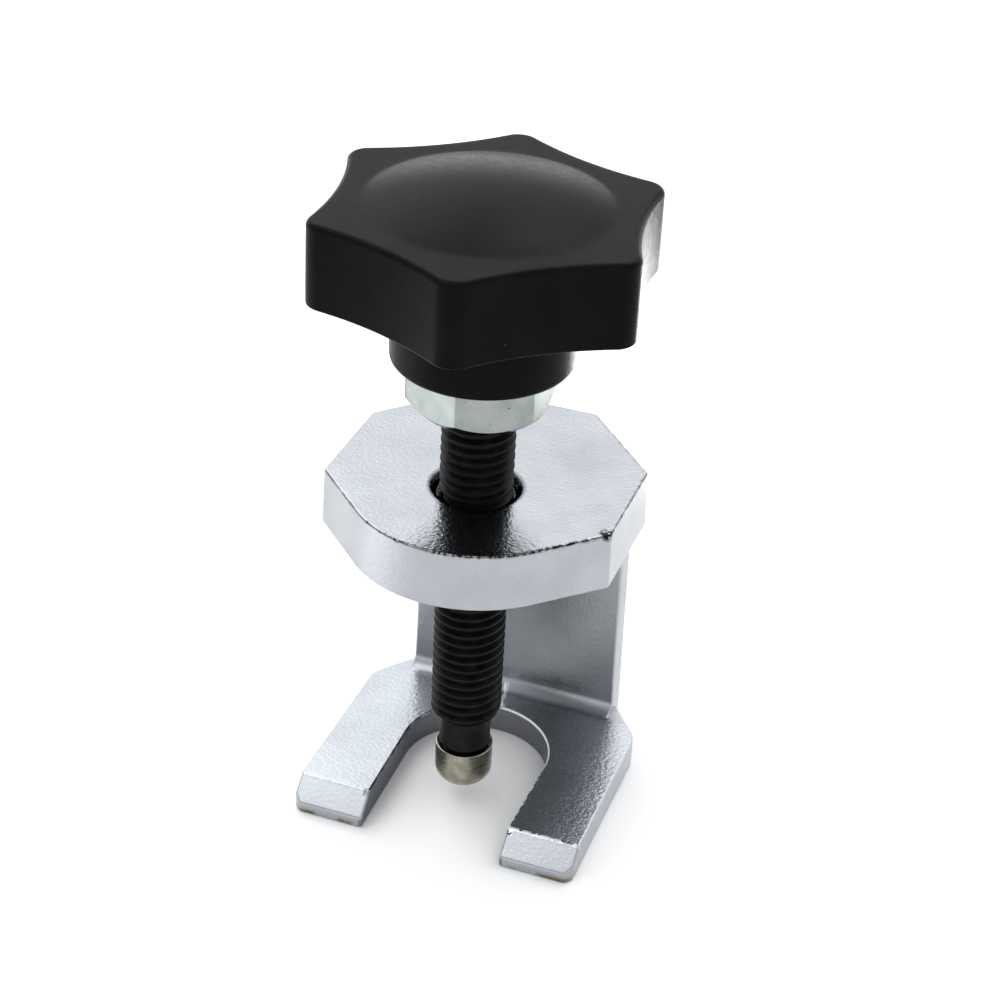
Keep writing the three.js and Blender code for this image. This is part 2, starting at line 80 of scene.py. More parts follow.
# Yoke.
PLATE_TOP_Z = YOKE_HIGH[2]
PLATE_THICKNESS = 10
PLATE_BOTTOM_Z = PLATE_TOP_Z - PLATE_THICKNESS
PLATE_HALF_WIDTH = 24.4
PLATE_NOSE_RADIUS = 20.9
PLATE_CORNER_Y = PLATE_HALF_WIDTH - PLATE_NOSE_RADIUS * math.sqrt(2)
PLATE_SIDE_BACK_Y = 15.3
PLATE_BACK_HALF_WIDTH = 10.8
PLATE_DRAFT = 0.3
BACK_Y = YOKE_HIGH[1] - AXIS_Y
WEB_FRONT_Y = 25.6
WEB_HALF_WIDTH_LOW = 19.3
WEB_HALF_WIDTH_HIGH = 18.6
WEB_CORNER_CUT = 7.6
WEB_TOP_INSET = 0.4
WEB_INTO_PLATE = 3
WEB_FILLET_ROOM = 5
WEB_FORK_FILLET = 2.4
WEB_PLATE_FILLET = 3
FORK_THICKNESS = 5.4
FORK_HALF_WIDTH = YOKE_HIGH[0]
FORK_SHOULDER_Y = 20.2
FORK_SHOULDER_BEND = ((0, -1.6), (-0.3, 0), (-1, 1.3))
FORK_SHOULDER_END_Y = 28.1
FORK_FOOT_INSET = 0.76
PRONG_TIP_Y = -15.9
PRONG_TIP_HEIGHT = 1.95
PRONG_TIP_DROP = 0.84
PRONG_BEVEL_START_Y = -11.8
PRONG_INNER_X = 12.5
PRONG_TIP_CORNER = 1.2
SLOT_RADIUS = 12.9
SLOT_CENTRE_Y = 6.1
SLOT_BACK_Y = SLOT_CENTRE_Y + SLOT_RADIUS
RIDGE_START_X = 0.3
RIDGE_START_Y = SLOT_BACK_Y + 0.3
RIDGE_END_Y = WEB_FRONT_Y - 0.7
RIDGE_SLANT = 0.2
RIDGE_HALF_WIDTH = 0.4
RIDGE_RISE = 0.36
RIDGE_SUNK = 0.1
HOLE_RADIUS = 6.3
COUNTERSINK_RADIUS = 7.4
COUNTERSINK_DEPTH = 1.3
YOKE_EDGE = 0.4
FLAT_ANGLE = math.radians(0.5)
SHARP_ANGLE = math.radians(22)

# Thread.
PITCH = 1.75
THREAD_RADIUS = radius_of("forcing_screw")
THREAD_ROOT_RADIUS = 4.95
THREAD_ROOT_SHARE = 0.11
THREAD_FLANK_SHARE = 0.32
THREAD_EASING = 0.04
THREAD_LOW_Z = 17.6
THREAD_LEAD_IN = 1.7
THREAD_END_INSET = 0.3
TAP_CLEARANCE = 0.15
TAP_RUN_OUT = 3
SLEEVE_OVERLAP = 0.3

# Screw below its thread.
NECK_RADIUS = 4.4
NECK_LOW_Z = 12.3
NECK_OVERLAP = 0.4
NECK_EDGE = 0.25
STUD_TOP_RADIUS = 3.8
STUD_TOP_Z = 11.5
STUD_TOP_SLOPE = 0.4
STUD_RADIUS = 3.3
STUD_GROOVE_RADIUS = 2.6
STUD_DIMPLE_RADIUS = 1.2
STUD_DIMPLE_DEPTH = 0.5

# Knob and its insert.
KNOB_COLUMNS = 432
HUB_RADIUS = 14.65
HUB_FOOT_RADIUS = HUB_RADIUS + 3
HUB_MOUTH_RADIUS = 11
HUB_DRAFT = 0.1
HUB_EDGE = 1.1
STAR_BOTTOM_Z = 99
STAR_TOP_Z = 112.7
STAR_REACH = 28.25
STAR_WAIST = 23.6
STAR_TIP_RADIUS = 3.6
STAR_TURN = math.radians(8.9)
STAR_LOW_EDGE = 0.4
STAR_HIGH_EDGE = 1.0
STAR_DRAFT = 0.08
DOME_RADIUS = 19.2
DOME_FOOT_RADIUS = DOME_RADIUS + 0.4
POCKET_SLACK = 0.5
POCKET_CORNER_RADIUS = 0.6
INSERT_CORNER_RADIUS = 0.4
INSERT_GROOVE_DEPTH = 1
INSERT_GROOVE_LOW_Z = 94
INSERT_GROOVE_HIGH_Z = 98
BORE_RADIUS = 6.2
BORE_CHAMFER = 0.6

# Nut.
NUT_ACROSS_FLATS = 21
NUT_CORNER_RADIUS = 0.5
NUT_BORE_CHAMFER = 0.8
NUT_MOUTH_RADIUS = 6.9
NUT_FACE_SHARE = 0.93
NUT_CHAMFER = math.radians(40)
NUT_TURN = math.radians(1.3)

# Cap and retaining ring.
CAP_DOME_TOP_Z = 6.8
CAP_FLOOR_Z = 5.5
CAP_BORE_RADIUS = 3.65
CAP_MOUTH_RADIUS = 4.6
CAP_GROOVE_RADIUS = 4.3
CAP_EDGE = 0.14
GROOVE_SLACK = 0.15
RING_INNER_RADIUS = 2.85
RING_OUTER_RADIUS = 4.05
RING_EDGE = 0.18
RING_GAP = 20


# ---- mesh code


def new_object(name, data):
    """An object in the scene that holds a mesh, a light or a camera."""
    obj = bpy.data.objects.new(name, data)
    bpy.context.scene.collection.objects.link(obj)
    return obj


def mesh_object(name, vertices, faces):
    """A mesh object from points in millimetres round the screw's axis."""
    points = (np.asarray(vertices, float) + (0, AXIS_Y, 0)) * MM
    mesh = bpy.data.meshes.new(name)
    mesh.from_pydata(points.tolist(), [], [list(map(int, f)) for f in faces])
    mesh.validate()
    return new_object(name, mesh)


def cleaned(obj, merge=1e-7):
    """Merges points that coincide, drops empty faces, closes open ends and turns every face outwards."""
    bm = bmesh.new()
    bm.from_mesh(obj.data)
    bmesh.ops.remove_doubles(bm, verts=bm.verts, dist=merge)
    bmesh.ops.dissolve_degenerate(bm, edges=bm.edges, dist=merge)
    rims = [edge for edge in bm.edges if edge.is_boundary]
    if rims:
        bmesh.ops.holes_fill(bm, edges=rims, sides=0)
    bmesh.ops.recalc_face_normals(bm, faces=bm.faces)
    bm.to_mesh(obj.data)
    bm.free()
    return obj


def with_modifiers(obj):
    """Replaces the object's mesh by what its modifiers make of it."""
    evaluated = obj.evaluated_get(bpy.context.evaluated_depsgraph_get())
    mesh = bpy.data.meshes.new_from_object(evaluated)
    obj.modifiers.clear()
    obj.data = mesh
    return obj


def smooth(obj, angle=math.radians(35)):
    """Smooth shading that keeps flat faces flat beside their rounded edges."""
    obj.data.polygons.foreach_set("use_smooth", [True] * len(obj.data.polygons))
    obj.data.set_sharp_from_angle(angle=angle)
    weighted = obj.modifiers.new("flat_faces", "WEIGHTED_NORMAL")
    weighted.keep_sharp = True
    weighted.weight = 80
    return obj


def object_from(bm, name):
    """An object in the scene made from a bmesh, which is used up."""
    mesh = bpy.data.meshes.new(name)
    bm.to_mesh(mesh)
    bm.free()
    return new_object(name, mesh)


def joined(name, *objects):
    """Several objects as one."""
    bm = bmesh.new()
    for obj in objects:
        bm.from_mesh(obj.data)
        bpy.data.objects.remove(obj)
    return object_from(bm, name)


def loft(name, rings, closed_loop=False):
    """Quads between rings of points, each ring a closed loop.

    closed_loop joins the last ring to the first.
    """
    rings = [np.asarray(ring, float) for ring in rings]
    columns = len(rings[0])
    vertices = np.concatenate(rings)
    steps = len(rings) if closed_loop else len(rings) - 1
    faces = []
    for i in range(steps):
        low, high = i * columns, ((i + 1) % len(rings)) * columns
        for j in range(columns):
            k = (j + 1) % columns
            faces.append((low + j, low + k, high + k, high + j))
    return cleaned(mesh_object(name, vertices, faces))


def round_angles(columns):
    """The angle of each column round the screw's axis."""
    return np.linspace(0, 2 * math.pi, columns, endpoint=False)


def circle_ring(radius, z, columns):
    """A ring round the axis. radius and z are one number or one for each column."""
    angles = round_angles(columns)
    radii = np.broadcast_to(radius, columns)
    heights = np.broadcast_to(z, columns)
    return np.stack([radii * np.cos(angles), radii * np.sin(angles), heights], 1)


def circle_rings(profile, columns):
    """One ring round the axis for each (radius, z) of a profile."""
    return [circle_ring(radius, z, columns) for radius, z in profile]


def rounded(profile, radius, steps=4):
    """The open profile of [r, z] points with each inner corner turned into a curve."""
    longest = 0.45
    points = [np.array(point, float) for point in profile]
    made = [points[0]]
    for before, corner, after in zip(points, points[1:], points[2:]):
        back, on = before - corner, after - corner
        back_length, on_length = np.linalg.norm(back), np.linalg.norm(on)
        back, on = back / back_length, on / on_length
        half = math.acos(max(-1, min(1, float(back @ on)))) / 2
        cut = min(radius / math.tan(half), longest * back_length, longest * on_length)
        for share in np.linspace(0, 1, steps + 1):
            made.append(corner + back * cut * (1 - share) ** 2 + on * cut * share**2)
    made.append(points[-1])
    return made


def turned(name, profile, edge, columns=128, steps=4):
    """A closed piece turned about the screw's axis from a profile that starts and ends near the axis."""
    smooth_profile = [(max(radius, 0), z) for radius, z in rounded(profile, edge, steps)]
    return loft(name, circle_rings(smooth_profile, columns))


# ---- thread


def thread_radius(share):
    """The metric profile's radius at each share of a pitch, with its flat crests and round roots."""
    from_root = np.abs((share + 0.5) % 1 - 0.5)
    climb = np.clip((from_root - THREAD_ROOT_SHARE) / THREAD_FLANK_SHARE, 0, 1)
    eased = climb - THREAD_EASING * np.sin(2 * math.pi * climb)
    return THREAD_ROOT_RADIUS + (THREAD_RADIUS - THREAD_ROOT_RADIUS) * eased


def threaded_rod(name, low, high, limit, radius=thread_radius, columns=72, rows_per_pitch=14):
    """A rod whose rows wind up the helix. limit(z) caps the radius, which makes the chamfered ends."""
    first = math.floor(low / PITCH) - 1
    last = math.ceil(high / PITCH) + 1
    rows = (last - first) * rows_per_pitch
    row = np.arange(rows + 1 + rows_per_pitch)
    vertices, faces = [], []
    for j in range(columns):
        angle = 2 * math.pi * j / columns
        z = (first + row / rows_per_pitch + j / columns) * PITCH
        z = np.clip(z, low, high)
        r = np.minimum(radius(row / rows_per_pitch), limit(z))
        vertices.append(np.stack([r * math.cos(angle), r * math.sin(angle), z], 1))
    height = len(row)
    for j in range(columns):
        shift = rows_per_pitch if j == columns - 1 else 0
        here, beside = j * height, ((j + 1) % columns) * height + shift
        for i in range(rows):
            faces.append((here + i, beside + i, beside + i + 1, here + i + 1))
    return cleaned(mesh_object(name, np.concatenate(vertices), faces), merge=2e-6)


# ---- yoke


def arc(centre, radius, start, end, steps):
    """Points along an arc, angles in degrees."""
    angles = np.radians(np.linspace(start, end, steps + 1))
    return [(centre[0] + radius * math.cos(a), centre[1] + radius * math.sin(a)) for a in angles]


def mirrored(points):
    """The same points on the other side of the middle plane, in the opposite order."""
    return [(-x, y) for x, y in reversed(points)]


def solid(name, outline, place, low, high):
    """A prism: place(u, v, w) puts the outline's (u, v) at depth w."""
    count = len(outline)
    vertices = [place(u, v, w) for w in (low, high) for u, v in outline]
    faces = [tuple(range(count)), tuple(range(count, 2 * count))]
    faces += [(i, (i + 1) % count, count + (i + 1) % count, count + i) for i in range(count)]
    return cleaned(mesh_object(name, vertices, faces))


def in_plan(u, v, w):
    return (u, v, w)


def in_front_view(u, v, w):
    return (u, w, v)


def in_side_view(u, v, w):
    return (w, u, v)


def combine(obj, other, operation):
    """A boolean with another object, which is used up."""
    change = obj.modifiers.new("boolean", "BOOLEAN")
    change.operation = operation
    change.object = other
    change.solver = "EXACT"
    with_modifiers(obj)
    bpy.data.objects.remove(other)
    return obj


def plate_half_outline(inset):
    """The right half of the plate's plan, from the nose to the back."""
    side, radius = PLATE_HALF_WIDTH - inset, PLATE_NOSE_RADIUS - inset
    return [
        *arc((0, 0), radius, -90, -45, 24),
        (side, side - radius * math.sqrt(2)),
        (side, PLATE_SIDE_BACK_Y),
        (PLATE_BACK_HALF_WIDTH - inset, BACK_Y),
    ]


def plate():
    """The top plate, whose sides draw in slightly towards the top as a forging's do."""
    rings = []
    for z, inset in ((PLATE_BOTTOM_Z, -PLATE_DRAFT), (PLATE_TOP_Z, 0)):
        right = plate_half_outline(inset)
        outline = right + mirrored(right[1:])
        rings.append([(x, y, z) for x, y in outline])
    return loft("plate", rings)


def web():
    """The upright, with the fillets that run into the fork below and the plate above."""
    inner = PLATE_BACK_HALF_WIDTH - WEB_TOP_INSET
    top = PLATE_BOTTOM_Z + WEB_INTO_PLATE
    right = [
        (WEB_HALF_WIDTH_LOW, 0),
        (WEB_HALF_WIDTH_HIGH, PLATE_BOTTOM_Z - WEB_CORNER_CUT),
        (inner, PLATE_BOTTOM_Z),
        (inner, top),
    ]
    front = solid("web", right + mirrored(right), in_front_view, WEB_FRONT_Y - WEB_FILLET_ROOM, BACK_Y)
    low_centre = (WEB_FRONT_Y - WEB_FORK_FILLET, FORK_THICKNESS + WEB_FORK_FILLET)
    high_centre = (WEB_FRONT_Y - WEB_PLATE_FILLET, PLATE_BOTTOM_Z - WEB_PLATE_FILLET)
    side = [
        (BACK_Y + PAST, -PAST),
        (BACK_Y + PAST, top + PAST),
        (high_centre[0], top + PAST),
        *arc(high_centre, WEB_PLATE_FILLET, 90, 0, 10),
        *arc(low_centre, WEB_FORK_FILLET, 0, -90, 10),
        (low_centre[0], -PAST),
    ]
    wide = WEB_HALF_WIDTH_LOW + PAST
    return combine(front, solid("web_side", side, in_side_view, -wide, wide), "INTERSECT")


def fork():
    """The two prongs round the slot, sheared to a slanting end."""
    tip_x = FORK_HALF_WIDTH - PRONG_TIP_CORNER
    right = [
        *arc((0, SLOT_CENTRE_Y), SLOT_RADIUS, 90, 0, 40),
        (PRONG_INNER_X, PRONG_TIP_Y),
        (tip_x, PRONG_TIP_Y),
        (FORK_HALF_WIDTH, PRONG_TIP_Y + PRONG_TIP_CORNER),
        *((FORK_HALF_WIDTH + x, FORK_SHOULDER_Y + y) for x, y in FORK_SHOULDER_BEND),
        (WEB_HALF_WIDTH_LOW - FORK_FOOT_INSET, FORK_SHOULDER_END_Y + PAST),
    ]
    flat = solid("fork", right + mirrored(right[1:]), in_plan, -PAST, FORK_THICKNESS + PAST)
    side = [
        (PRONG_TIP_Y - PAST, 0),
        (BACK_Y + PAST, 0),
        (BACK_Y + PAST, FORK_THICKNESS),
        (PRONG_BEVEL_START_Y, FORK_THICKNESS),
        (PRONG_TIP_Y, PRONG_TIP_HEIGHT),
        (PRONG_TIP_Y - PAST, PRONG_TIP_HEIGHT - PRONG_TIP_DROP),
    ]
    wide = FORK_HALF_WIDTH + PAST
    return combine(flat, solid("side", side, in_side_view, -wide, wide), "INTERSECT")


def hole_cutter():
    """The tapped hole's clear bore with a countersink at each end."""
    profile = [
        (0, PLATE_BOTTOM_Z - PAST),
        (COUNTERSINK_RADIUS, PLATE_BOTTOM_Z - PAST),
        (COUNTERSINK_RADIUS, PLATE_BOTTOM_Z),
        (HOLE_RADIUS, PLATE_BOTTOM_Z + COUNTERSINK_DEPTH),
        (HOLE_RADIUS, PLATE_TOP_Z - COUNTERSINK_DEPTH),
        (COUNTERSINK_RADIUS, PLATE_TOP_Z),
        (COUNTERSINK_RADIUS, PLATE_TOP_Z + PAST),
        (0, PLATE_TOP_Z + PAST),
    ]
    return turned("hole", profile, 0, columns=96, steps=1)


def bevelled(obj, width, segments=3):
    """Merges faces that lie in one plane, then rounds every outward edge."""
    bm = bmesh.new()
    bm.from_mesh(obj.data)
    bmesh.ops.dissolve_limit(bm, angle_limit=FLAT_ANGLE, verts=bm.verts, edges=bm.edges)
    sharp = [edge for edge in bm.edges if edge.is_convex and edge.calc_face_angle(0) > SHARP_ANGLE]
    bmesh.ops.bevel(
        bm,
        geom=sharp,
        offset=width * MM,
        offset_type="OFFSET",
        segments=segments,
        profile=0.5,
        affect="EDGES",
        clamp_overlap=False,
    )
    bm.to_mesh(obj.data)
    bm.free()
    return obj


def tapped_sleeve():
    """The female thread inside the plate's hole, cut by a rod that runs past both ends."""
    low = PLATE_BOTTOM_Z + COUNTERSINK_DEPTH
    high = PLATE_TOP_Z - COUNTERSINK_DEPTH
    first, last = low - TAP_RUN_OUT, high + TAP_RUN_OUT

    def limit(z):
        return THREAD_ROOT_RADIUS + np.minimum(z - first, last - z)

    def tap_radius(share):
        return thread_radius(share) + TAP_CLEARANCE

    rod = threaded_rod("tap", first, last, limit, tap_radius)
    outer = HOLE_RADIUS + SLEEVE_OVERLAP
    shell = turned("tapped_sleeve", [(0, low), (outer, low), (outer, high), (0, high)], 0, steps=1)
    return combine(shell, rod, "DIFFERENCE")


def parting_ridge():
    """The low ridge that the dies left on the fork, from the slot up into the web's fillet."""
    rings = []
    for y in np.linspace(RIDGE_START_Y, RIDGE_END_Y, 16):
        into_fillet = max(y - WEB_FRONT_Y + WEB_FORK_FILLET, 0)
        climb = WEB_FORK_FILLET - math.sqrt(WEB_FORK_FILLET**2 - into_fillet**2)
        wander = 0.1 * math.sin(y * 1.7)
        swell = 1 + 0.2 * math.sin(y * 2.6)
        middle = RIDGE_START_X - RIDGE_SLANT * (y - RIDGE_START_Y) + wander
        section = arc((middle, 0), RIDGE_HALF_WIDTH * swell, 0, 180, 8)
        low = FORK_THICKNESS + climb - RIDGE_SUNK
        rings.append([(x, y, low + z * RIDGE_RISE / RIDGE_HALF_WIDTH) for x, z in section])
    return loft("ridge", rings)


def yoke():
    """The forged body: plate, web and fork in one, with the tapped hole."""
    body = plate()
    combine(body, web(), "UNION")
    combine(body, fork(), "UNION")
    combine(body, hole_cutter(), "DIFFERENCE")
    return joined("forged_yoke", bevelled(body, YOKE_EDGE), parting_ridge(), tapped_sleeve())


# ---- screw group


def groove_heights():
    """The low and high wall of the groove that the retaining ring sits in."""
    return RING_LOW[2] - GROOVE_SLACK, RING_HIGH[2] + GROOVE_SLACK


def forcing_screw():
    """The threaded rod with its plain neck and the stud that the cap turns on."""
    low, high = THREAD_LOW_Z, SCREW_HIGH[2]
    end_z = SCREW_LOW[2]
    top_radius = THREAD_ROOT_RADIUS - THREAD_END_INSET

    def limit(z):
        lead_in = NECK_RADIUS + (z - low) * (THREAD_RADIUS - NECK_RADIUS) / THREAD_LEAD_IN
        return np.minimum(lead_in, top_radius + (high - z))

    thread = threaded_rod("thread", low, high, limit)
    groove_low, groove_high = groove_heights()
    profile = [
        (0, end_z + STUD_DIMPLE_DEPTH),
        (STUD_DIMPLE_RADIUS, end_z),
        (STUD_RADIUS, end_z),
        (STUD_RADIUS, groove_low),
        (STUD_GROOVE_RADIUS, groove_low),
        (STUD_GROOVE_RADIUS, groove_high),
        (STUD_RADIUS, groove_high),
        (STUD_RADIUS, STUD_TOP_Z - STUD_TOP_SLOPE),
        (STUD_TOP_RADIUS, STUD_TOP_Z),
        (NECK_RADIUS, NECK_LOW_Z),
        (NECK_RADIUS, low + NECK_OVERLAP),
        (0, low + NECK_OVERLAP),
    ]
    return joined("black_screw", thread, turned("neck", profile, NECK_EDGE))


def hexagon_radius(angles, across_flats, corner):
    """A hexagon's radius at each angle, with its corners rounded by the given radius."""
    from_flat = (angles % (math.pi / 3)) - math.pi / 6
    flat = across_flats / 2
    sharp = flat / np.cos(from_flat)
    tip = flat - corner
    reach = tip / math.cos(math.pi / 6)
    to_corner = math.pi / 6 - np.abs(from_flat)
    under = np.clip(corner**2 - (reach * np.sin(to_corner)) ** 2, 0, None)
    round_part = reach * np.cos(to_corner) + np.sqrt(under)
    touches = math.atan2(tip * math.tan(math.pi / 6), flat)
    return np.where(np.abs(from_flat) > touches, round_part, sharp)


def lock_nut():
    """The hexagon nut, with a turned chamfer round its lower face."""
    columns = 288
    low, high = NUT_LOW[2], NUT_HIGH[2]
    angles = round_angles(columns) - NUT_TURN + math.pi / 2
    side = hexagon_radius(angles, NUT_ACROSS_FLATS, NUT_CORNER_RADIUS)
    face = NUT_ACROSS_FLATS / 2 * NUT_FACE_SHARE
    shoulder = low + (side - face) * math.tan(NUT_CHAMFER)
    soft = 0.3
    profile = [
        (BORE_RADIUS, high - NUT_BORE_CHAMFER),
        (BORE_RADIUS, low + NUT_BORE_CHAMFER),
        (NUT_MOUTH_RADIUS, low),
        (face - soft, low),
        (face, low + 0.05),
        (face + soft, low + 0.2),
        (side - 0.12, shoulder - 0.02),
        (side - 0.02, shoulder + 0.06),
        (side, shoulder + 0.2),
        (side, high - soft),
        (side - 0.1, high - 0.08),
        (side - soft, high),
        (NUT_MOUTH_RADIUS, high),
    ]
    return loft("jam_nut", circle_rings(profile, columns), closed_loop=True)


def knob_insert():
    """The brass insert: a hexagon with a groove round it, which keeps it from turning or pulling out."""
    columns = 240
    edge = 0.3
    low, high = INSERT_LOW[2], INSERT_HIGH[2]
    angles = round_angles(columns) + math.pi / 2
    side = hexagon_radius(angles, INSERT_ACROSS_FLATS, INSERT_CORNER_RADIUS)
    core = np.minimum(side, INSERT_ACROSS_FLATS / 2 - INSERT_GROOVE_DEPTH)
    mouth = BORE_RADIUS + BORE_CHAMFER
    profile = [
        (BORE_RADIUS, high - BORE_CHAMFER),
        (BORE_RADIUS, low + BORE_CHAMFER),
        (mouth, low),
        (side - edge, low),
        (side, low + edge),
        (side, INSERT_GROOVE_LOW_Z),
        (core, INSERT_GROOVE_LOW_Z + 0.2),
        (core, INSERT_GROOVE_HIGH_Z - 0.2),
        (side, INSERT_GROOVE_HIGH_Z),
        (side, high - edge),
        (side - edge, high),
        (mouth, high),
    ]
    return loft("brass_insert", circle_rings(profile, columns), closed_loop=True)


def star_outline(columns):
    """The star's outline and its outward normals: six round tips joined by shallow concave arcs."""
    step = math.pi / 3
    tip_centre = STAR_REACH - STAR_TIP_RADIUS
    inner = STAR_WAIST - STAR_TIP_RADIUS
    hollow = (tip_centre**2 - inner**2) / (2 * (tip_centre * math.cos(step / 2) - inner))
    hollow_radius = hollow - STAR_WAIST
    tip_share = STAR_TIP_RADIUS / (hollow_radius + STAR_TIP_RADIUS)
    toward_hollow = np.array([hollow * math.cos(step / 2), hollow * math.sin(step / 2)])
    meet = np.array([tip_centre, 0.0]) * (1 - tip_share) + toward_hollow * tip_share
    meet_angle = math.atan2(meet[1], meet[0])
    angles = round_angles(columns)
    from_tip = np.abs((angles - STAR_TURN + math.pi / 2 + step / 2) % step - step / 2)
    tip_under = np.clip(STAR_TIP_RADIUS**2 - (tip_centre * np.sin(from_tip)) ** 2, 0, None)
    tip_part = tip_centre * np.cos(from_tip) + np.sqrt(tip_under)
    from_waist = step / 2 - from_tip
    hollow_under = hollow_radius**2 - (hollow * np.sin(from_waist)) ** 2
    hollow_part = hollow * np.cos(from_waist) - np.sqrt(hollow_under)
    radius = np.where(from_tip < meet_angle, tip_part, hollow_part)
    points = np.stack([radius * np.cos(angles), radius * np.sin(angles)], 1)
    along = np.roll(points, -1, 0) - np.roll(points, 1, 0)
    along /= np.linalg.norm(along, axis=1)[:, None]
    return points, np.stack([along[:, 1], -along[:, 0]], 1)


def pocket_rings(columns):
    """The hexagonal pocket round the insert, from its roof down to its mouth."""
    edge = 0.3
    roof, mouth = INSERT_HIGH[2], KNOB_LOW[2]
    angles = round_angles(columns) + math.pi / 2
    side = hexagon_radius(angles, INSERT_ACROSS_FLATS + POCKET_SLACK, POCKET_CORNER_RADIUS)
    profile = [
        (0, roof + 0.2),
        (side - edge, roof + 0.2),
        (side, roof),
        (side, mouth + edge),
        (side + edge, mouth),
    ]
    return circle_rings(profile, columns)


def hub_rings(columns):
    """The round hub, from its lower face up to where the star spreads out."""
    profile = [
        (HUB_MOUTH_RADIUS, KNOB_LOW[2]),
        (HUB_RADIUS - HUB_DRAFT, KNOB_LOW[2]),
        (HUB_RADIUS, STAR_BOTTOM_Z),
        (HUB_FOOT_RADIUS, STAR_BOTTOM_Z),
    ]
    return circle_rings(rounded(profile, HUB_EDGE, 6), columns)


def star_rings(columns):
    """The star's underside, side and top, with both edges rounded."""
    outline, normals = star_outline(columns)
    rings = []

    def star_ring(inset, z):
        rings.append(np.column_stack([outline - normals * inset, np.full(columns, z)]))

    def blend_ring(inset, radius, share, z):
        outer = outline - normals * inset
        inner = circle_ring(radius, z, columns)[:, :2]
        points = outer * (1 - share) + inner * share
        rings.append(np.column_stack([points, np.full(columns, z)]))

    for share in (0.66, 0.33, 0):
        blend_ring(STAR_LOW_EDGE, HUB_FOOT_RADIUS, share, STAR_BOTTOM_Z)
    for turn in np.radians(np.linspace(15, 90, 6)):
        star_ring(STAR_LOW_EDGE * (1 - math.sin(turn)), STAR_BOTTOM_Z + STAR_LOW_EDGE * (1 - math.cos(turn)))
    star_ring(0, STAR_BOTTOM_Z + 4)
    star_ring(0.05, STAR_TOP_Z - 4)
    for turn in np.radians(np.linspace(0, 90, 9)):
        inset = STAR_DRAFT + STAR_HIGH_EDGE * (1 - math.cos(turn))
        star_ring(inset, STAR_TOP_Z - STAR_HIGH_EDGE * (1 - math.sin(turn)))
    for share in (0.3, 0.6, 0.85):
        blend_ring(STAR_DRAFT + STAR_HIGH_EDGE, DOME_FOOT_RADIUS, share, STAR_TOP_Z)
    return rings


def dome_rings(columns):
    """The low dome on the star's top."""
    profile = [(DOME_FOOT_RADIUS, STAR_TOP_Z), (DOME_RADIUS, STAR_TOP_Z + 0.03)]
    for share in np.linspace(0.98, 0, 24):
        rise = (KNOB_HIGH[2] - STAR_TOP_Z) * (1 - share**2)
        profile.append((DOME_RADIUS * share, STAR_TOP_Z + rise))
    return circle_rings(profile, columns)


def knob():
    """The star knob, moulded round its insert."""
    columns = KNOB_COLUMNS
    rings = pocket_rings(columns) + hub_rings(columns) + star_rings(columns) + dome_rings(columns)
    return loft("star_knob", rings)


# ---- cap group


def pressure_cap():
    """The thimble on the screw's stud, with its groove for the retaining ring."""
    low, high = CAP_LOW[2], CAP_HIGH[2]
    radius = radius_of("pressure_cap")
    dome = []
    for turn in np.radians(np.linspace(0, 90, 17)):
        z = CAP_DOME_TOP_Z - (CAP_DOME_TOP_Z - low) * math.cos(turn)
        dome.append((radius * math.sin(turn), z))
    groove_low, groove_high = groove_heights()
    inside = rounded(
        [
            (radius, CAP_DOME_TOP_Z),
            (radius, high),
            (CAP_MOUTH_RADIUS, high),
            (CAP_BORE_RADIUS, high - (CAP_MOUTH_RADIUS - CAP_BORE_RADIUS)),
            (CAP_BORE_RADIUS, groove_high),
            (CAP_GROOVE_RADIUS, groove_high),
            (CAP_GROOVE_RADIUS, groove_low),
            (CAP_BORE_RADIUS, groove_low),
            (CAP_BORE_RADIUS, CAP_FLOOR_Z),
            (0, CAP_FLOOR_Z),
        ],
        CAP_EDGE,
    )
    return loft("swivel_cap", circle_rings(dome + inside[1:], 128))


def retaining_ring():
    """A split ring of rounded flat wire."""
    low, high = RING_LOW[2], RING_HIGH[2]
    seam = (RING_INNER_RADIUS, low + 0.1)
    corners = [
        seam,
        (RING_INNER_RADIUS, low),
        (RING_OUTER_RADIUS, low),
        (RING_OUTER_RADIUS, high),
        (RING_INNER_RADIUS, high),
        seam,
    ]
    section = rounded(corners, RING_EDGE, 3)[:-1]
    rings = []
    for angle in np.radians(np.linspace(RING_GAP, 360 - RING_GAP, 73)):
        rings.append([(r * math.cos(angle), r * math.sin(angle), z) for r, z in section])
    return loft("snap_ring", rings)


def thrust_ball():
    """The ball between the stud's end and the cap's floor."""
    radius = (BALL_HIGH[2] - BALL_LOW[2]) / 2
    centre = Vector((BALL_LOW + BALL_HIGH) / 2)
    bm = bmesh.new()
    bmesh.ops.create_icosphere(bm, subdivisions=4, radius=radius * MM)
    bmesh.ops.translate(bm, verts=bm.verts, vec=centre * MM)
    return object_from(bm, "steel_ball")


# ---- materials


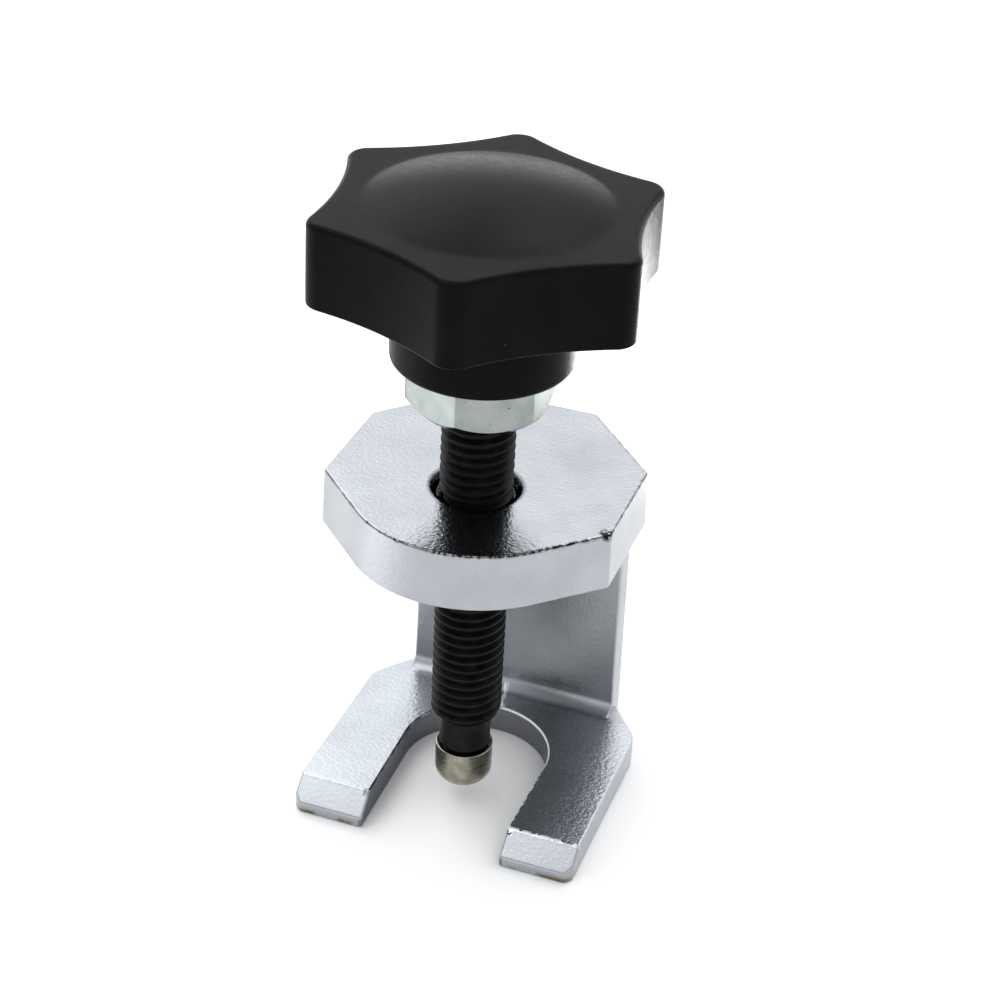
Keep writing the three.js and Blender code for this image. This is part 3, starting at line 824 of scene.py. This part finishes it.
class Nodes:
    """A node tree, with ways to add and join its nodes."""

    def __init__(self, tree):
        self.tree = tree

    def add(self, kind, **settings):
        node = self.tree.nodes.new(kind)
        for key, value in settings.items():
            setattr(node, key, value)
        return node

    def give(self, socket, value):
        """Links a node's output to a socket. Anything else becomes the socket's own value."""
        if isinstance(value, bpy.types.NodeSocket):
            self.tree.links.new(value, socket)
        else:
            socket.default_value = value

    def fill(self, node, **values):
        """Gives each named socket of a node its value, with _ for a space in the name."""
        for key, value in values.items():
            self.give(node.inputs[key.replace("_", " ")], value)
        return node

    def operate(self, kind, operation, values):
        """The outputs of one operation on values, each a node's output or a constant."""
        node = self.add(kind, operation=operation)
        for socket, value in zip(node.inputs, values):
            self.give(socket, value)
        return node.outputs

    def math(self, operation, *values):
        """One operation on numbers."""
        return self.operate("ShaderNodeMath", operation, values)["Value"]

    def measure(self, operation, *vectors):
        """One operation on vectors whose result is a number."""
        return self.operate("ShaderNodeVectorMath", operation, vectors)["Value"]

    def chain(self, operation, values):
        total = values[0]
        for value in values[1:]:
            total = self.math(operation, total, value)
        return total

    def product(self, *values):
        """The values multiplied together: 1 only where every mask is 1."""
        return self.chain("MULTIPLY", values)

    def total(self, *values):
        return self.chain("ADD", values)

    def largest(self, *values):
        """The greatest of the values: 1 where any mask is 1."""
        return self.chain("MAXIMUM", values)

    def difference(self, a, b):
        return self.math("SUBTRACT", a, b)

    def axes(self, vector):
        """The X, Y and Z outputs of a vector."""
        return self.fill(self.add("ShaderNodeSeparateXYZ"), Vector=vector).outputs

    def between(self, value, low, high, out_low=0.0, out_high=1.0):
        """Maps value from low..high to out_low..out_high, clamped."""
        node = self.add("ShaderNodeMapRange")
        self.fill(node, Value=value, From_Min=low, From_Max=high, To_Min=out_low, To_Max=out_high)
        return node.outputs["Result"]


class Finish(Nodes):
    """A material, with the few node chains that the finishes share."""

    def __init__(self, name):
        self.material = bpy.data.materials.new(name)
        self.material.use_nodes = True
        super().__init__(self.material.node_tree)
        self.shader = self.tree.nodes["Principled BSDF"]
        self.place = self.add("ShaderNodeTexCoord").outputs["Object"]

    def shade(self, **values):
        """Gives the shader's sockets their values and returns the material."""
        self.fill(self.shader, **values)
        return self.material

    def grain(self, size, detail=2.0, roughness=0.5, stretch=(1, 1, 1)):
        """Noise whose features are about size millimetres across."""
        scale = [share / (size * MM) for share in stretch]
        mapped = self.fill(self.add("ShaderNodeMapping"), Vector=self.place, Scale=scale).outputs[0]
        texture = self.add("ShaderNodeTexNoise")
        self.fill(texture, Vector=mapped, Scale=1, Detail=detail, Roughness=roughness)
        return texture.outputs["Fac"]

    def cells(self, size):
        """The distance to the nearest of scattered points about size millimetres apart."""
        texture = self.add("ShaderNodeTexVoronoi")
        self.fill(texture, Vector=self.place, Scale=1 / (size * MM))
        return texture.outputs["Distance"]

    def mix(self, share, a, b):
        """Colour a where share is 0 and b where it is 1."""
        node = self.fill(self.add("ShaderNodeMix", data_type="RGBA"), Factor=share)
        for name, value in (("A", a), ("B", b)):
            socket = next(s for s in node.inputs if s.name == name and s.type == "RGBA")
            self.give(socket, (*value, 1) if isinstance(value, tuple) else value)
        return next(s for s in node.outputs if s.type == "RGBA")

    def bump(self, height, depth, under=None):
        """A bump of depth millimetres, on top of the one under it if there is one."""
        node = self.fill(self.add("ShaderNodeBump"), Height=height, Distance=depth * MM, Strength=1)
        if under is not None:
            self.fill(node, Normal=under)
        return node.outputs["Normal"]

    def edges(self, radius):
        """1 within about radius millimetres of an edge, 0 on flats."""
        bevel = self.fill(self.add("ShaderNodeBevel", samples=6), Radius=radius * MM)
        likeness = self.measure("DOT_PRODUCT", bevel.outputs["Normal"], self.normal())
        return self.between(likeness, 0.998, 0.96)

    def normal(self):
        return self.add("ShaderNodeNewGeometry").outputs["Normal"]

    def level(self):
        """1 on level faces, facing up or down, and 0 on vertical ones."""
        return self.math("ABSOLUTE", self.axes(self.normal())["Z"])

    def slanted(self):
        """1 on the rounded edges between level and vertical faces, 0 on both."""
        level = self.level()
        return self.product(self.between(level, 0.12, 0.3), self.between(level, 0.99, 0.93))

    def upright(self):
        """1 on vertical faces, 0 on level ones."""
        return self.between(self.level(), 0.15, 0.4, 1, 0)

    def across(self, low, high):
        """0 at x = low and 1 at x = high, in millimetres."""
        return self.between(self.axes(self.place)["X"], low * MM, high * MM)

    def depth(self, low, high):
        """0 at y = low and 1 at y = high, in millimetres behind the screw's axis."""
        return self.between(self.axes(self.place)["Y"], (low + AXIS_Y) * MM, (high + AXIS_Y) * MM)

    def height(self, low, high):
        """0 at z = low and 1 at z = high, in millimetres."""
        return self.between(self.axes(self.place)["Z"], low * MM, high * MM)

    def beside(self, half_width):
        """1 within half_width millimetres of the middle plane, 0 outside."""
        away = self.math("ABSOLUTE", self.axes(self.place)["X"])
        return self.math("LESS_THAN", away, half_width * MM)

    def from_axis(self, inner, outer):
        """1 within inner millimetres of the screw's axis and 0 beyond outer."""
        values = (self.place, (1, 1, 0), (0, -AXIS_Y * MM, 0))
        flattened = self.operate("ShaderNodeVectorMath", "MULTIPLY_ADD", values)["Vector"]
        return self.between(self.measure("LENGTH", flattened), inner * MM, outer * MM, 1, 0)

    def around(self, point, radius):
        """1 at a point given in millimetres from the screw's axis, 0 beyond radius."""
        centre = (Vector(point) + Vector((0, AXIS_Y, 0))) * MM
        return self.between(self.measure("DISTANCE", self.place, centre), radius * MM, radius * 0.6 * MM)

    def on_ridge(self, half_width):
        """1 within half_width millimetres of the vertical plane that the parting ridge lies in."""
        plane = self.measure("DOT_PRODUCT", self.place, (1, RIDGE_SLANT, 0))
        offset = RIDGE_START_X + RIDGE_SLANT * (RIDGE_START_Y + AXIS_Y)
        away = self.math("ABSOLUTE", self.difference(plane, offset * MM))
        return self.between(away, half_width * MM, (half_width - 0.2) * MM)


# Near-black metal: bare steel where the plating chipped, and painted shade in the tapped hole and its
# countersinks.
BARE_METAL_AND_HOLE_SHADE = (0.012, 0.012, 0.012)
PEEL_DEPTH = 0.055
FINE_DEPTH = 0.012


def zinc_colour(zinc, plate_rim, patchy):
    """The plating's two greys with dark specks, rubbed brown along the plate's rim."""
    clouds = zinc.between(zinc.grain(9, 3), 0.35, 0.7)
    clean = zinc.mix(clouds, (0.40, 0.415, 0.44), (0.35, 0.365, 0.39))
    specks = zinc.between(zinc.grain(0.5, 3, 0.8), 0.79, 0.83, 0.0, 0.7)
    specked = zinc.mix(specks, clean, (0.1, 0.1, 0.1))
    return zinc.mix(zinc.product(plate_rim, patchy), specked, (0.15, 0.135, 0.12))


def plate_chips(zinc, plate_rim):
    """Where the plating has chipped off the plate: along its rim, mostly on the right, and at one dent."""
    on_plate = zinc.height(PLATE_TOP_Z - 3, PLATE_TOP_Z - 2)
    near_edge = zinc.largest(plate_rim, zinc.product(zinc.edges(0.9), on_plate, 0.8))
    toward_right = zinc.product(zinc.across(-14, 14), 0.15)
    past_corner = zinc.product(zinc.across(20, 23), 0.1)
    flakes = zinc.total(zinc.grain(0.9, 4, 0.7), zinc.difference(toward_right, past_corner))
    chips = zinc.product(near_edge, zinc.between(flakes, 0.6, 0.66))
    corner = zinc.around((PLATE_HALF_WIDTH - 0.7, PLATE_CORNER_Y, PLATE_TOP_Z), 1.5)
    dent = zinc.product(corner, zinc.between(zinc.grain(0.8, 3), 0.42, 0.5))
    return zinc.largest(chips, dent)


def slot_rim_mask(zinc):
    """The rounded edge round the slot's top."""
    return zinc.product(
        zinc.slanted(),
        zinc.beside(SLOT_RADIUS + 0.7),
        zinc.height(FORK_THICKNESS - 1, FORK_THICKNESS - 0.7),
        zinc.height(FORK_THICKNESS + 0.3, FORK_THICKNESS + 0.2),
        zinc.depth(RIDGE_START_Y + 1, RIDGE_START_Y + 0.6),
    )


def painted_slot_shade_mask(zinc):
    """The slot's upright wall, which gets painted shade: a darker colour and a weaker reflection than the
    faces.
    """
    return zinc.product(
        zinc.beside(SLOT_RADIUS + 0.2),
        zinc.upright(),
        zinc.height(FORK_THICKNESS + 0.1, FORK_THICKNESS - 0.1),
        zinc.depth(WEB_FRONT_Y, SLOT_BACK_Y + 1),
    )


def stain_mask(zinc):
    """The olive stains low on the prongs' ends."""
    return zinc.product(
        zinc.height(1.3, 0.5),
        zinc.between(zinc.grain(4.0, 3), 0.42, 0.56),
        zinc.largest(zinc.upright(), zinc.slanted()),
        zinc.depth(-8, -12),
    )


def ridge_highlight_mask(zinc):
    """The parting ridge on the fork and up its fillet, where a painted highlight lies over the real ridge.
    """
    return zinc.product(
        zinc.on_ridge(0.55),
        zinc.height(FORK_THICKNESS + 0.05, FORK_THICKNESS + 0.15),
        zinc.height(FORK_THICKNESS + 1.3, FORK_THICKNESS + 0.9),
        zinc.depth(WEB_FRONT_Y + 0.6, WEB_FRONT_Y),
    )


def shear_line_highlight_mask(zinc):
    """The edge where the right prong's sheared end begins, which gets a painted highlight in broken patches.
    """
    return zinc.product(
        zinc.depth(PRONG_BEVEL_START_Y + 0.35, PRONG_BEVEL_START_Y + 0.2),
        zinc.depth(PRONG_BEVEL_START_Y - 0.4, PRONG_BEVEL_START_Y - 0.2),
        zinc.height(FORK_THICKNESS - 0.6, FORK_THICKNESS - 0.35),
        zinc.height(FORK_THICKNESS + 0.3, FORK_THICKNESS + 0.1),
        zinc.across(0, 2),
        0.8,
    )


def fillet_mask(zinc):
    """The smooth fillet between the fork and the web."""
    return zinc.product(
        zinc.depth(22.8, 23.8),
        zinc.height(FORK_THICKNESS + 4.5, FORK_THICKNESS + 2.5),
        zinc.depth(WEB_FRONT_Y + 1, WEB_FRONT_Y + 0.3),
    )


def zinc_roughness(zinc, fine, fillet, burr_highlight):
    """Glossy on the plate's top, duller on the web, its fillet and the burrs with their painted highlights.
    """
    web_front = zinc.product(zinc.height(FORK_THICKNESS, FORK_THICKNESS + 6), zinc.depth(22, 25))
    duller = zinc.product(zinc.largest(web_front, fillet), 0.12)
    glossier = zinc.product(zinc.height(PLATE_TOP_Z - 0.5, PLATE_TOP_Z - 0.1), 0.07)
    grainy = zinc.total(zinc.between(fine, 0.3, 0.7, 0.17, 0.3), duller)
    return zinc.total(zinc.difference(grainy, glossier), zinc.product(burr_highlight, 0.3))


def zinc_surface(zinc, fine, fillet):
    """The orange peel of the plating, calmer on the sheared prong ends and the fillet."""
    peel = zinc.grain(0.65, 2, 0.5)
    prong_ends = zinc.product(
        zinc.depth(PRONG_BEVEL_START_Y, PRONG_BEVEL_START_Y - 0.5), 0.65, zinc.height(8, 7)
    )
    smooth_fillet = zinc.product(fillet, 0.8)
    calm_peel = zinc.product(peel, zinc.difference(1.0, zinc.largest(prong_ends, smooth_fillet)))
    calm_fine = zinc.product(fine, zinc.difference(1.0, smooth_fillet))
    return zinc.bump(calm_fine, FINE_DEPTH, under=zinc.bump(calm_peel, PEEL_DEPTH))


def forged_zinc():
    """Zinc plate over a forged skin: bright faces, chipped edges, painted highlights on the burrs, and
    painted shade in the tapped hole and on the slot walls.
    """
    zinc = Finish("forged_zinc")
    fine = zinc.grain(0.24, 2, 0.6)
    patchy = zinc.between(zinc.grain(2.5, 3), 0.35, 0.6, 0.2, 0.9)
    plate_rim = zinc.product(zinc.slanted(), zinc.height(PLATE_TOP_Z - 1, PLATE_TOP_Z - 0.6))
    slot_rim = slot_rim_mask(zinc)
    left_rim = zinc.product(slot_rim, zinc.across(-3, -7), patchy)
    right_rim = zinc.product(slot_rim, zinc.across(3, 7), zinc.depth(4, 2))
    # Painted highlight along the back of the slot's rim.
    back_rim_highlight = zinc.product(slot_rim, zinc.across(-1, 1), zinc.depth(4, 7))
    broken = zinc.grain(0.7, 3)
    chipped_rim = zinc.product(right_rim, zinc.between(broken, 0.5, 0.56))
    bare = zinc.largest(plate_chips(zinc, plate_rim), left_rim, chipped_rim)
    worn = zinc.mix(bare, zinc_colour(zinc, plate_rim, patchy), BARE_METAL_AND_HOLE_SHADE)
    # Painted shade on the slot's wall: a darker colour and a weaker reflection.
    painted_slot_shade = painted_slot_shade_mask(zinc)
    slot_shaded = zinc.mix(painted_slot_shade, worn, (0.2, 0.205, 0.22))
    # Painted shade in the tapped hole and its countersinks: nearly black, with the reflection cut.
    hole_shade = zinc.product(zinc.from_axis(7.35, 8.2), zinc.between(zinc.grain(0.7, 3), 0.35, 0.6, 1.0, 0.8))
    hole_shaded = zinc.mix(hole_shade, slot_shaded, BARE_METAL_AND_HOLE_SHADE)
    stained = zinc.mix(stain_mask(zinc), hole_shaded, (0.13, 0.12, 0.06))
    # Painted highlight: bright, rougher metal in broken patches on the slot's right rim and the shear line,
    # along the parting ridge and the back of the slot's rim.
    torn_edge_highlight = zinc.product(zinc.largest(right_rim, shear_line_highlight_mask(zinc)), zinc.between(broken, 0.54, 0.48))
    burr_highlight = zinc.largest(ridge_highlight_mask(zinc), back_rim_highlight, torn_edge_highlight)
    slot_shade_tint = zinc.mix(painted_slot_shade, (1.0, 1.0, 1.0), (0.7, 0.71, 0.75))
    fillet = fillet_mask(zinc)
    return zinc.shade(
        Metallic=1,
        Base_Color=zinc.mix(burr_highlight, stained, (0.85, 0.87, 0.9)),
        Specular_Tint=zinc.mix(hole_shade, slot_shade_tint, (0.06, 0.06, 0.06)),
        Roughness=zinc_roughness(zinc, fine, fillet, burr_highlight),
        Normal=zinc_surface(zinc, fine, fillet),
    )


def bright_zinc():
    """The nut's bright plating, with a few dark pits."""
    zinc = Finish("bright_zinc")
    clouds = zinc.between(zinc.grain(3.5, 2), 0.35, 0.65)
    clean = zinc.mix(clouds, (0.24, 0.27, 0.26), (0.30, 0.32, 0.31))
    pits = zinc.between(zinc.cells(2.6), 0.07, 0.05)
    return zinc.shade(
        Metallic=1,
        Specular_Tint=(0.45, 0.45, 0.45, 1),
        Base_Color=zinc.mix(pits, clean, (0.05, 0.05, 0.05)),
        Roughness=zinc.between(zinc.grain(0.6, 3), 0.3, 0.7, 0.14, 0.26),
        Normal=zinc.bump(zinc.grain(0.9, 3), 0.03),
    )


def black_oxide():
    """The screw's oiled black skin."""
    oxide = Finish("black_oxide")
    clouds = oxide.between(oxide.grain(2, 4), 0.4, 0.7)
    return oxide.shade(
        Metallic=0.1,
        Specular_IOR_Level=0.1,
        Base_Color=oxide.mix(clouds, (0.004, 0.004, 0.0042), (0.010, 0.0095, 0.009)),
        Roughness=oxide.between(oxide.grain(0.5, 3), 0.3, 0.7, 0.3, 0.48),
        Normal=oxide.bump(oxide.grain(0.25, 2), 0.012),
    )


def black_plastic():
    """The knob's satin black plastic, with a few specks of dust."""
    plastic = Finish("black_plastic")
    haze = plastic.between(plastic.grain(7, 3), 0.35, 0.7)
    body = plastic.mix(haze, (0.003, 0.003, 0.0032), (0.0045, 0.0045, 0.0048))
    here_and_there = plastic.between(plastic.grain(15, 0), 0.5, 0.52)
    dust = plastic.product(plastic.between(plastic.cells(9), 0.026, 0.018), here_and_there)
    return plastic.shade(
        IOR=1.5,
        Specular_IOR_Level=0.037,
        Base_Color=plastic.mix(dust, body, (0.5, 0.52, 0.5)),
        Roughness=plastic.between(plastic.grain(1.1, 3), 0.3, 0.7, 0.26, 0.34),
        Normal=plastic.bump(plastic.grain(0.3, 2), 0.004),
    )


def turned_metal(name, dark, light, cloud_size, line_size, line_stretch, rough_low, rough_high, depth):
    """Metal with fine lines round the axis. Sizes and depth are in millimetres."""
    metal = Finish(name)
    clouds = metal.between(metal.grain(cloud_size, 3), 0.35, 0.65)
    lines = metal.grain(line_size, 2, 0.6, (line_stretch, line_stretch, 1))
    return metal.shade(
        Metallic=1,
        Base_Color=metal.mix(clouds, dark, light),
        Roughness=metal.between(lines, 0.3, 0.7, rough_low, rough_high),
        Normal=metal.bump(lines, depth),
    )


def nickel_plate():
    """The cap's warm grey plating."""
    dark, light = (0.25, 0.235, 0.185), (0.36, 0.34, 0.28)
    return turned_metal("nickel_plate", dark, light, 1.6, 0.35, 0.12, 0.2, 0.32, 0.004)


def plain_metal(name, dark, light, rough):
    """A turned or drawn metal of an inner piece."""
    return turned_metal(name, dark, light, 1.5, 0.3, 0.2, rough * 0.7, rough * 1.3, 0.006)


def brass():
    """The insert's brass."""
    return plain_metal("brass", (0.52, 0.35, 0.13), (0.66, 0.48, 0.2), 0.3)


def spring_steel():
    """The retaining ring's dark steel."""
    return plain_metal("spring_steel", (0.16, 0.165, 0.17), (0.25, 0.255, 0.26), 0.35)


def bearing_steel():
    """The ball's polished steel."""
    return plain_metal("bearing_steel", (0.7, 0.71, 0.73), (0.8, 0.81, 0.83), 0.12)


# ---- the object

PIECES = (
    (yoke, "yoke", "frame", "forged_zinc", forged_zinc),
    (forcing_screw, "forcing_screw", "screw", "black_oxide", black_oxide),
    (lock_nut, "lock_nut", "screw", "bright_zinc", bright_zinc),
    (knob_insert, "knob_insert", "screw", "brass", brass),
    (knob, "knob", "screw", "black_plastic", black_plastic),
    (pressure_cap, "pressure_cap", "cap", "nickel_plate", nickel_plate),
    (retaining_ring, "retaining_ring", "carriage", "spring_steel", spring_steel),
    (thrust_ball, "thrust_ball", "carriage", "bearing_steel", bearing_steel),
)

for make, node, body, slot, finish in PIECES:
    piece = smooth(make())
    piece.data.materials.clear()
    piece.data.materials.append(finish())
    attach(piece, body)
    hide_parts(node)


# ---- floor, light and camera

CAMERA_AZIMUTH = math.radians(18.85)
CAMERA_ELEVATION = math.radians(33.18)
CAMERA_DISTANCE = 363.85
CAMERA_TARGET_Z = 50
CAMERA_YAW = math.radians(-0.63)
CAMERA_PITCH = math.radians(1.43)
CAMERA_ROLL = math.radians(2.69)
CAMERA_LENS = 79.85

FLOOR_HALF_SIZE_METRES = 3.0
FLOOR_COLOUR = (0.84, 0.84, 0.835, 1)
ROOM_COLOUR = (0.97, 0.985, 1.0, 1)

# How bright the room is, part by part.
WALLS = 0.85
SKIRTING = 2.4
PANEL = 1.66
LEFT_SHARE = 2.4
CEILING = 1.45
UPPER_LEFT = 1.1


def camera():
    """Looks at the screw's axis from the front right and above, then turns slightly off it."""
    azimuth, elevation = CAMERA_AZIMUTH, CAMERA_ELEVATION
    level = math.cos(elevation)
    back = Vector((math.sin(azimuth) * level, -math.cos(azimuth) * level, math.sin(elevation)))
    right = Vector((math.cos(azimuth), math.sin(azimuth), 0))
    aim = Matrix.Identity(3)
    aim.col[0], aim.col[1], aim.col[2] = right, back.cross(right), back
    turn = (
        Matrix.Rotation(CAMERA_YAW, 3, "Y")
        @ Matrix.Rotation(CAMERA_PITCH, 3, "X")
        @ Matrix.Rotation(CAMERA_ROLL, 3, "Z")
    )
    data = bpy.data.cameras.new("camera")
    data.lens = CAMERA_LENS
    data.sensor_width = 36
    data.clip_start, data.clip_end = 0.01, 20
    obj = new_object("camera", data)
    place = Vector((0, AXIS_Y, CAMERA_TARGET_Z)) + back * CAMERA_DISTANCE
    obj.matrix_world = Matrix.Translation(place * MM) @ (aim @ turn).to_4x4()
    bpy.context.scene.camera = obj


def floor():
    """A wide pale floor."""
    size = FLOOR_HALF_SIZE_METRES
    mesh = bpy.data.meshes.new("floor")
    corners = [(-size, -size, 0), (size, -size, 0), (size, size, 0), (-size, size, 0)]
    mesh.from_pydata(corners, [], [(0, 1, 2, 3)])
    paper = bpy.data.materials.new("floor")
    paper.use_nodes = True
    shader = paper.node_tree.nodes["Principled BSDF"]
    shader.inputs["Base Color"].default_value = FLOOR_COLOUR
    shader.inputs["Roughness"].default_value = 0.7
    mesh.materials.append(paper)
    obj = new_object("floor", mesh)


def aimed_light(name, data, place, target):
    """Puts a light in the scene at a place, turned to a target, both in millimetres."""
    obj = new_object(name, data)
    obj.location = Vector(place) * MM
    towards = (Vector(target) - Vector(place)).normalized()
    obj.rotation_euler = towards.to_track_quat("-Z", "Y").to_euler()


def area_light(name, place, target, size, power):
    """A square soft light, size millimetres wide."""
    data = bpy.data.lights.new(name, "AREA")
    data.size = size * MM
    data.energy = power
    aimed_light(name, data, place, target)


def floor_light(name, place, target, spread, power):
    """A soft-edged spot that whitens a patch of floor. spread is its half-angle in radians."""
    data = bpy.data.lights.new(name, "SPOT")
    data.spot_size = 2 * spread
    data.spot_blend = 1.0
    data.shadow_soft_size = 40 * MM
    data.energy = power
    aimed_light(name, data, place, target)


def surroundings():
    """A pale room: a bright ceiling, and behind the object a bright panel and a bright foot of the wall."""
    world = bpy.data.worlds.new("room")
    world.use_nodes = True
    room = Nodes(world.node_tree)
    direction = room.axes(room.add("ShaderNodeTexCoord").outputs["Generated"])
    right, away, up = direction["X"], direction["Y"], direction["Z"]
    panel = room.product(
        room.between(up, 0.34, 0.46),
        room.between(up, 0.85, 0.7),
        room.between(away, 0.1, 0.5),
        PANEL - WALLS,
        room.between(right, -0.3, -0.5, 1.0, LEFT_SHARE),
        room.between(up, 0.56, 0.62, 1.0, 1.36),
    )
    skirting = room.product(
        room.between(up, 0.3, 0.12),
        room.between(away, 0.1, 0.5, 0.4, 1.0),
        SKIRTING - WALLS,
    )
    ceiling = room.between(up, 0.75, 0.92, 0.0, CEILING - WALLS)
    upper_left = room.product(
        room.between(right, -0.22, -0.3),
        room.between(up, 0.62, 0.75),
        UPPER_LEFT,
    )
    strength = room.total(panel, ceiling, upper_left, skirting, WALLS)
    room.fill(world.node_tree.nodes["Background"], Color=ROOM_COLOUR, Strength=strength)
    bpy.context.scene.world = world


camera()
floor()
surroundings()
area_light("overhead", (-250, -250, 1100), (0, 0, 0), 700, 0.9)
area_light("rear", (80, 500, 800), (60, 400, 0), 500, 2)
floor_light("floor_behind", (55, 330, 480), (55, 195, 0), 0.115, 140)
floor_light("floor_left", (-180, 20, 500), (-150, -60, 0), 0.15, 16)
bpy.context.scene.view_settings.view_transform = "Standard"
